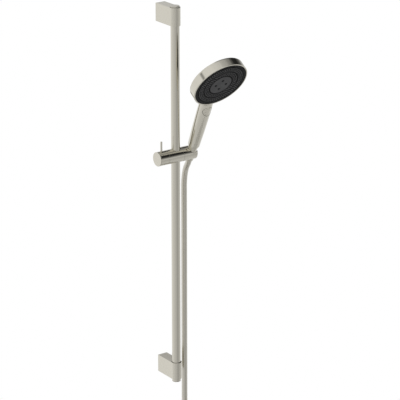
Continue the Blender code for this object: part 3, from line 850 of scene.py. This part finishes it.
def build_slider():
    stub = [(0.0, 0.026), (0.0090, 0.026, 0.0004), (0.0090, 0.0225), (0.0078, 0.0225)]
    stub += [(0.0078, 0.0195), (0.0090, 0.0195)]
    drum = [(0.0090, BODY_RIGHT), (SLIDER_RADIUS, BODY_RIGHT, SEAM_EDGE)]
    drum += [(SLIDER_RADIUS, KNOB_RIGHT + GAP, SEAM_EDGE), (0.0, KNOB_RIGHT + GAP)]
    path = refined(rounded([*stub, *drum]), SLIDER_RINGS)
    body = lathe("slider_body_fine", path, SLIDER_STEPS, ALONG_X)
    way = [(0.0, -0.02), (0.0115, -0.02), (0.0115, -0.0108), (0.0127, -0.0108)]
    way += [(radius, -height) for radius, height in reversed(way)]
    rail_way = lathe("rail_way", vectors(way), SLIDER_STEPS, SLIDER_AXIS)
    shoe_way = rod_mesh(0.0041, -0.030, -0.006, ALONG_X)
    thread = rod_mesh(0.0024, 0.0165, 0.030, ALONG_X, 32)
    mesh = shaped(body, *(("DIFFERENCE", cutter) for cutter in (rail_way, shoe_way, thread)))
    add("slider_body_fine", mesh, "turned", "slider", ["slider_body"])

    ring = [(0.0113, -0.0105), (0.0124, -0.0105, 0.0002)]
    ring += [(0.0124, 0.0105, 0.0002), (0.0113, 0.0105)]
    ring = lathe("slider_liner_fine", rounded(ring), RAIL_STEPS, SLIDER_AXIS, closed=True)
    slit = box_mesh((0.0, -0.0008, -0.016), (0.014, 0.0008, 0.016))
    slit.transform(SLIDER_AXIS)
    mesh = shaped(ring, ("DIFFERENCE", slit))
    add("slider_liner_fine", mesh, "graphite", "carriage", ["slider_liner"])

    knob = [(0.0040, KNOB_RIGHT), (SLIDER_RADIUS, KNOB_RIGHT, SEAM_EDGE)]
    knob += [(SLIDER_RADIUS, -0.0524, SEAM_EDGE), (0.0040, -0.0524)]
    path = refined(rounded(knob), SLIDER_RINGS)
    knob = lathe("clamp_knob_fine", path, SLIDER_STEPS, ALONG_X, closed=True)
    pin_place = SLIDER_AXIS @ Matrix.Translation((LEVER_PIN_X, 0.0, 0.0))
    pin_way = rod_mesh(0.0027, 0.0048, 0.02, pin_place)
    mesh = shaped(knob, ("DIFFERENCE", pin_way))
    add("clamp_knob_fine", mesh, "turned", "lever", ["clamp_knob"])

    cap = [
        (0.0, -0.0527), (SLIDER_RADIUS, -0.0527, SEAM_EDGE), (SLIDER_RADIUS, KNOB_LEFT, 0.0007),
        (0.0135, KNOB_LEFT, 0.002), (0.0, KNOB_LEFT + 0.00015),
    ]
    path = refined(rounded(cap), SLIDER_RINGS)
    mesh = lathe("knob_end_cap_fine", path, SLIDER_STEPS, ALONG_X)
    add("knob_end_cap_fine", mesh, "turned", "lever", ["knob_end_cap"])

    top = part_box("lever_pin")[1].z - SLIDER_HEIGHT
    pin = [(0.0, top), (0.0025, top, 0.0009), (0.0025, 0.0051, 0.0002), (0.0, 0.0051)]
    mesh = lathe("lever_pin_fine", refined(rounded(pin, count=8), 0.002), 64, pin_place)
    add("lever_pin_fine", mesh, "rail", "lever", ["lever_pin"])


def build_holder():
    barrel = [
        (0.0, HOLDER_RIGHT), (SLIDER_RADIUS, HOLDER_RIGHT, 0.0010),
        (SLIDER_RADIUS, BODY_RIGHT + GAP, SEAM_EDGE), (0.0093, BODY_RIGHT + GAP),
        (0.0093, 0.0270), (0.0, 0.0270),
    ]
    path = refined(rounded(barrel), SLIDER_RINGS)
    barrel = lathe("holder_barrel_fine", path, SLIDER_STEPS, ALONG_X)
    way = [(0, 0.026), (0.0024, 0.026), (0.0024, 0.0290)]
    way += [(0.0046, 0.0290), (0.0046, 0.036), (0, 0.036)]
    screw_way = lathe("screw_way", vectors(way), 48, ALONG_X)
    cone = [(0, 0.032), (0.0131, 0.032), (0.0119, 0.016)]
    cone += [(0.0114, 0.010), (0.0099, -0.028), (0, -0.028)]
    socket = lathe("socket", refined(vectors(cone), 0.003), 128, HANDSET)
    slot = box_mesh((0.003, -SLOT_HALF, -0.035), (0.02, SLOT_HALF, 0.035))
    slot.transform(HANDSET)
    mesh = shaped(barrel, *(("DIFFERENCE", cutter) for cutter in (screw_way, socket, slot)))
    add("holder_barrel_fine", mesh, "turned", "holder", ["holder_barrel"])


# ---------------------------------------------------------------- handset


def handle_path():
    """(radius, height) of the handle's outside, from its lower end to its rounded top."""
    grip = [
        (0.0148, HANDLE_LOW + 0.0010), (0.0153, 0.0450), (0.0161, 0.0700), (0.0167, 0.1050),
        (0.0169, 0.1405), (0.0165, 0.1600), (0.0159, 0.1780), (0.0146, 0.1930),
        (0.0109, 0.2050), (0.0060, 0.2105), (0.0, 0.2120),
    ]
    return np.array([tuple(p) for p in smooth_path(grip, 24)])


def head_outside():
    """(radius, height) of the head's outside in the face's frame, from its back to its lip."""
    corners = [
        (0.0, -0.0310), (0.030, -0.0300, 0.08), (0.052, -0.0276, 0.08),
        (0.0670, -0.0252, 0.012), (0.0708, -0.0233, 0.0022), (HEAD_RADIUS, -0.0205, 0.006),
        (HEAD_RADIUS, 0.0, 0.0009), (FACE_RADIUS + GAP, 0.0),
    ]
    return rounded(corners, count=8)


def nearest_on(path, points):
    """The nearest point of a 2-D path to each point, with its distance."""
    a, b = path[:-1], path[1:]
    step = b - a
    share = ((points[:, None] - a) * step).sum(-1) / (step * step).sum(-1)
    found = a + np.clip(share, 0.0, 1.0)[..., None] * step
    far = np.linalg.norm(points[:, None] - found, axis=-1)
    best = far.argmin(axis=1)
    rows = np.arange(len(points))
    return found[rows, best], far[rows, best]


def moved(matrix, points):
    matrix = np.array(matrix)
    return points @ matrix[:3, :3].T + matrix[:3, 3]


def fillet_radius(angle):
    """Of the blend between handle and head: tightest under the lip, larger beside and behind."""
    turn = abs(math.remainder(angle, 2 * math.pi))
    share = min(turn / BLEND_TURN, 1.0)
    beside = BLEND_AT_SIDE * share * share * (3 - 2 * share)
    return BLEND_UNDER_LIP + beside + BLEND_BEHIND * (0.5 - 0.5 * math.cos(turn))


def fillet_at(angle, handle, outward, profile, to_face):
    """Where a ball rolling between handle and head rests, at one angle round the handle.

    Gives its place along the handle's path, and points along the ball from handle to head, with
    one more inside the head.
    """
    size = fillet_radius(angle)
    across = np.array([math.sin(angle), -math.cos(angle), 0.0])
    up = np.array([0.0, 0.0, 1.0])

    def spread(flat):
        return flat[:, :1] * across + flat[:, 1:] * up

    middles = moved(to_face, spread(handle + size * outward))
    flat = np.stack([np.hypot(middles[:, 0], middles[:, 1]), middles[:, 2]], axis=1)
    _, far = nearest_on(profile, flat)
    touching = int(np.argmax(far <= size))
    assert touching > 0, f"the blend finds no head at {math.degrees(angle):.0f} degrees"
    share = (far[touching - 1] - size) / (far[touching - 1] - far[touching])
    place = touching - 1 + share
    foot = handle[touching - 1] * (1 - share) + handle[touching] * share
    normal = outward[touching - 1] * (1 - share) + outward[touching] * share
    middle = moved(to_face, spread((foot + size * normal)[None]))
    flat = np.array([[np.hypot(middle[0, 0], middle[0, 1]), middle[0, 2]]])
    near, _ = nearest_on(profile, flat)
    around = middle[0, :2] / flat[0, 0]
    head = np.array([near[0, 0] * around[0], near[0, 0] * around[1], near[0, 1]])
    first = moved(to_face, spread(foot[None]))[0] - middle[0]
    last = head - middle[0]
    cosine = first @ last / np.linalg.norm(first) / np.linalg.norm(last)
    sweep_by = math.acos(np.clip(cosine, -1.0, 1.0))
    arc = []
    for k in range(1, 9):
        t = k / 8
        mixed = math.sin((1 - t) * sweep_by) * first + math.sin(t * sweep_by) * last
        arc.append(middle[0] + mixed / math.sin(sweep_by))
    under = head + BLEND_SUNK * last / np.linalg.norm(last)
    return place, [*arc, under]


def handle_with_fillet(profile):
    """The handle as a closed solid that ends inside the head, with the blend at its top."""
    handle = handle_path()
    along = np.gradient(handle, axis=0)
    along /= np.linalg.norm(along, axis=1)[:, None]
    outward = np.stack([along[:, 1], -along[:, 0]], axis=1)
    to_face = FACE.inverted() @ HANDSET
    columns, tall = 120, 96
    angles = [2 * math.pi * k / columns for k in range(columns)]
    found = [fillet_at(angle, handle, outward, profile, to_face) for angle in angles]
    places = np.array([place for place, _ in found])
    foot_rows = [(0.0106, HANDLE_LOW), (0.0140, HANDLE_LOW), (0.0145, HANDLE_LOW + 0.0003)]

    def on_handle(radius, height, angle):
        return HANDSET @ Vector((radius * math.sin(angle), -radius * math.cos(angle), height))

    rows = [[HANDSET @ Vector((0.0, 0.0, HANDLE_LOW))]]
    for radius, height in foot_rows:
        rows.append([on_handle(radius, height, a) for a in angles])
    index = np.arange(len(handle))
    for k in range(tall + 1):
        row = []
        for angle, place in zip(angles, places):
            at = place * k / tall
            radius, height = (np.interp(at, index, handle[:, n]) for n in (0, 1))
            row.append(on_handle(radius, height, angle))
        rows.append(row)
    for k in range(9):
        rows.append([FACE @ Vector(strip[k]) for _, strip in found])
    rows.append([FACE @ Vector((0.0, -0.045, -0.016))])
    return rows_mesh("handle", rows)


def build_shell():
    outside = head_outside()
    profile = np.array([tuple(p) for p in outside])
    path = [*refined(outside, 0.003), Vector((0.0, 0.0))]
    head = lathe("handset_shell_fine", path, HEAD_STEPS, FACE)
    room = [(0.0, 0.002), (FACE_RADIUS + GAP, 0.002), (FACE_RADIUS + GAP, -0.0030)]
    room += [(0.0664, -0.0030), (0.0664, -0.0222), (0.0, -0.0222)]
    room = lathe("room", vectors(room), HEAD_STEPS, FACE)
    bore = rod_mesh(HANDLE_BORE, 0.020, 0.1960, HANDSET)
    pocket_place = HANDSET @ Matrix.Translation((0.0, 0.0, BUTTON_ALONG + 0.0005)) @ FORWARD
    pocket = rod_mesh(BUTTON_RADIUS + 0.0009, 0.0076, 0.024, pocket_place, 128)
    steps = [("UNION", handle_with_fillet(profile))]
    steps += [("DIFFERENCE", cutter) for cutter in (room, bore, pocket)]
    mesh = shaped(head, *steps)
    add("handset_shell_fine", mesh, "handset", "handset", ["handset_shell"], 30)


def build_button():
    """A round key whose top follows the handle, with a soft edge."""
    handle = handle_path()
    place = HANDSET @ Matrix.Translation((0.0, 0.0, BUTTON_ALONG))

    def top_at(x, height):
        sunk = BUTTON_SUNK + BUTTON_DROP * max(0.0, height / BUTTON_RADIUS) ** 2
        radius = np.interp(BUTTON_ALONG + height, handle[:, 1], handle[:, 0]) - sunk
        return math.sqrt(radius * radius - x * x)

    rows = [[place @ Vector((0.0, -top_at(0.0, 0.0), 0.0))]]
    rings = [(radius, 0.0) for radius in np.linspace(0.001, BUTTON_RADIUS - BUTTON_EDGE, 14)]
    for a in np.linspace(0.3, 1.57, 5):
        inward, drop = BUTTON_EDGE * (1 - math.sin(a)), BUTTON_EDGE * (1 - math.cos(a))
        rings.append((BUTTON_RADIUS - inward, drop))
    angles = [2 * math.pi * k / 96 for k in range(96)]
    for radius, drop in rings:
        row = []
        for a in angles:
            x, height = radius * math.cos(a), radius * math.sin(a)
            row.append(place @ Vector((x, drop - top_at(x, height), height)))
        rows.append(row)
    for radius in (BUTTON_RADIUS, 0.5 * BUTTON_RADIUS):
        level = [(radius * math.cos(a), -BUTTON_LOW, radius * math.sin(a)) for a in angles]
        rows.append([place @ Vector(p) for p in level])
    rows.append([place @ Vector((0.0, -BUTTON_LOW, 0.0))])
    mesh = rows_mesh("select_button_fine", rows)
    add("select_button_fine", mesh, "button", "button", ["select_button"])


# (radius, count) of each ring of nozzles, and (radius, depth) of each groove in the face
BANDS = ((0.0340, 34), (0.0382, 40), (0.0424, 46), (0.0492, 52), (0.0534, 58), (0.0576, 62))
GROOVES = ((0.0610, 0.0011), (0.0458, 0.0009), (0.0306, 0.0011))


def build_face():
    """The spray face: the centre plate's seat, and bands of nozzles between fine grooves."""
    seat = [(0.0, -0.0012), (0.0293, -0.0012), (0.0293, -0.0004, 0.0002), (0.0300, -0.0003)]
    path = [(0.0, -0.0026), (FACE_RADIUS, -0.0026), (FACE_RADIUS, -0.0005, 0.0003)]
    path.append((0.0666, -0.0005, 0.0003))
    for radius, depth in GROOVES:
        path += [(radius + 0.0008, -0.0003, 0.0003), (radius + 0.0003, -0.0003 - depth, 0.0002)]
        path += [(radius - 0.0003, -0.0003 - depth, 0.0002), (radius - 0.0008, -0.0003, 0.0003)]
    path = [*path[:-1], *reversed(seat)]
    mesh = lathe("spray_face_fine", refined(rounded(path, count=3), 0.004), HEAD_STEPS, FACE)
    add("spray_face_fine", mesh, "graphite", "handset", ["spray_face"])

    nozzle = [
        (0.0, 0.0006), (0.00038, 0.0006), (0.00042, 0.0012), (0.00070, 0.0013),
        (0.00090, 0.0011), (0.00125, 0.0001), (0.00160, -0.0003), (0.0, -0.0006),
    ]
    tips = []
    for number, (radius, count) in enumerate(BANDS):
        for k in range(count):
            angle = 2 * math.pi * (k + 0.5 * (number % 2)) / count
            spot = (radius * math.cos(angle), radius * math.sin(angle), -0.0003)
            tips.append(lathe("tip", vectors(nozzle), 12, FACE @ Matrix.Translation(spot)))
    mesh = joined("nozzle_tips", tips)
    add("nozzle_tips", mesh, "nozzle", "handset", sharp=50)


def build_centre_plate():
    """A shallow disc with four jets in round wells."""
    path = [(0.0, 0.0006), (PLATE_RADIUS, 0.0004, 0.0006), (PLATE_RADIUS, -0.0009), (0.0, -0.0009)]
    path = rounded(path, count=4)
    rings = refined(path[:2], 0.0006)[:-1] + refined(path[1:], 0.004)
    mesh = lathe("centre_plate_fine", rings, 144, Matrix.Identity(4))
    quarters = [k * math.pi / 2 for k in range(4)]
    spots = [(JET_RING * math.cos(a), JET_RING * math.sin(a)) for a in quarters]
    for vertex in mesh.vertices:
        if vertex.co.z < 0.0:
            continue
        off = min(math.hypot(vertex.co.x - x, vertex.co.y - y) for x, y in spots)
        share = min(max((WELL_RADIUS - off) / WELL_SLOPE, 0.0), 1.0)
        vertex.co.z -= WELL_DEPTH * share * share * (3 - 2 * share)
    mesh.transform(FACE)
    add("centre_plate_fine", mesh, "slate", "handset", ["centre_plate"], 50)

    jet = [(0.0, -0.0003), (0.0009, -0.0003), (0.0009, 0.0002), (0.0014, 0.0002, 0.0002)]
    jet += [(0.0017, -0.0004), (0.0034, -0.00035), (0.0034, -0.0009), (0.0, -0.0009)]
    places = [FACE @ Matrix.Translation((x, y, 0.0)) for x, y in spots]
    mesh = joined("centre_jets", [lathe("jet", rounded(vectors(jet)), 24, p) for p in places])
    add("centre_jets", mesh, "well", "handset", sharp=50)


def build_conical_nut():
    corners = [
        (0.0103, 0.0250), (0.0121, 0.0250, 0.0004), (0.0127, 0.0240, 0.0006),
        (0.0116, 0.0160, 0.02), (0.0110, 0.0100, 0.02), (0.0097, -0.0192, 0.0006),
        (0.0092, -0.0200, 0.0003), (0.0080, -0.0200, 0.0003), (0.0080, 0.0050), (0.0103, 0.0050),
    ]
    path = refined(rounded(corners, count=4), 0.003)
    mesh = lathe("conical_nut_fine", path, 96, HANDSET, closed=True)
    add("conical_nut_fine", mesh, "handset", "handset", ["conical_nut"])


# ---------------------------------------------------------------- pieces kept from the CAD

KEPT = {
    "steel": ("pivot_screw", "clamp_spindle", "button_spring", "face_screw"),
    "brass": ("hose_stem", "inlet_nipple"),
    "zinc": ("lower_wall_plate", "upper_wall_plate"),
    "white": (
        "brake_shoe", "pivot_washer", "flow_limiter", "inlet_tube",
        "selector_housing", "selector_plunger", "water_housing", "distribution_plate",
    ),
    "rubber": (
        "friction_ring", "hose_washer", "nipple_seal",
        "housing_seal", "nozzle_mat", "wall_nut_washer",
    ),
}


def dress_kept():
    for look, names in KEPT.items():
        for name in names:
            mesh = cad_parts[name].data
            mesh.materials.clear()
            mesh.materials.append(LOOKS[look])
            mesh.shade_smooth()
            mesh.set_sharp_from_angle(angle=math.radians(SHARP))


bpy.context.scene.view_settings.view_transform = "Standard"
LOOKS = make_finishes()
add_camera()
build_hose()
add_world()
add_floor()
build_rail()
for end in ("lower", "upper"):
    build_bracket(end)
build_slider()
build_holder()
build_shell()
build_button()
build_face()
build_centre_plate()
build_conical_nut()
dress_kept()
